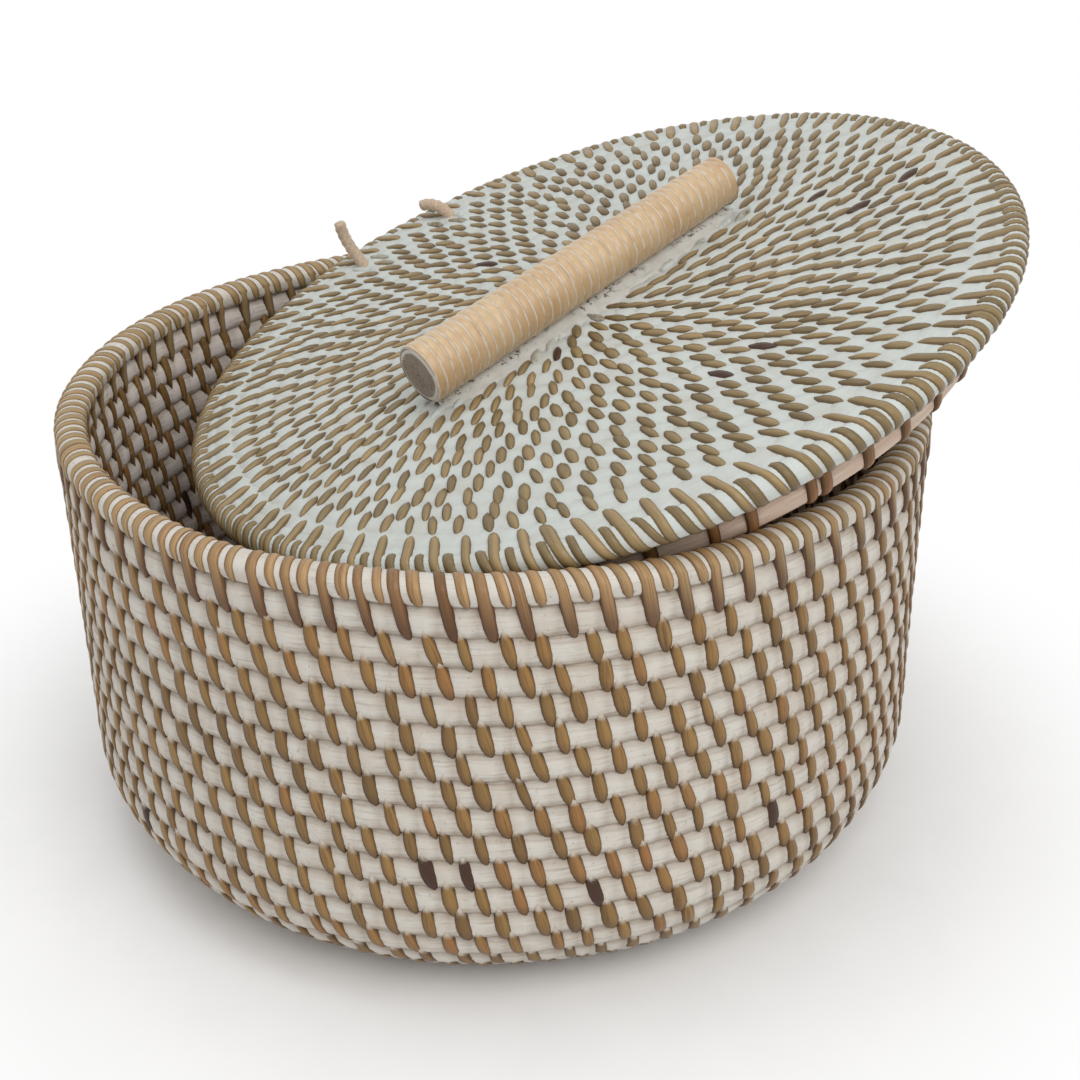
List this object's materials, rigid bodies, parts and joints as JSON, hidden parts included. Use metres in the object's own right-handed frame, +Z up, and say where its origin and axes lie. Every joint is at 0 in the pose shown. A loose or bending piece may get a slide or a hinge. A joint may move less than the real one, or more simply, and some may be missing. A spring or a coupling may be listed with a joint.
{
  "type": "woven lidded box",
  "caption": "Round straight-walled box of coiled, stitched rattan rods, with a flat coiled lid on hinge cords, a wrapped bar handle on the lid and stop rods under it.",
  "frame": {"origin": "centre of the round face that the box stands on", "axes": "+Z up along the box's axis; the picture is taken from the -Y side, with the hinge cords at the back left"},
  "size_m": [0.2618, 0.2472, 0.1794],
  "materials": {
    "whitewashed_rod": "matte",
    "wound_rim": "satin",
    "bare_rod": "satin",
    "cane_bar": "matte",
    "cane_peel": "gloss",
    "filler": "matte",
    "cotton_cord": "matte"
  },
  "bodies": {
    "box": {"base_coil": "whitewashed_rod", "corner_coil_1": "whitewashed_rod", "corner_coil_2": "whitewashed_rod", "corner_coil_3": "whitewashed_rod", "corner_coil_4": "whitewashed_rod", "corner_coil_5": "whitewashed_rod", "corner_coil_6": "whitewashed_rod", "wall_coil_1": "whitewashed_rod", "wall_coil_2": "whitewashed_rod", "wall_coil_3": "whitewashed_rod", "wall_coil_4": "whitewashed_rod", "wall_coil_5": "whitewashed_rod", "wall_coil_6": "whitewashed_rod", "wall_coil_7": "whitewashed_rod", "wall_coil_8": "whitewashed_rod", "wall_coil_9": "whitewashed_rod", "wall_coil_10": "whitewashed_rod", "wall_coil_11": "whitewashed_rod", "rim_coil": "wound_rim"},
    "lid": {"lid_coil": "whitewashed_rod", "lid_edge_coil": "wound_rim", "stop_ring": "bare_rod", "stop_ring_upper": "bare_rod", "handle_bar": "cane_bar", "handle_wrap": "cane_peel", "handle_bed": "filler", "hinge_cord_1": "cotton_cord", "hinge_cord_2": "cotton_cord"}
  },
  "joints": [
    {"name": "lid_swing", "type": "hinge", "parent": "box", "child": "lid", "pos_m": [-0.04445, 0.10278, 0.1295], "axis": [-0.7755, -0.6314, 0], "range_deg": [0, 110]}
  ]
}
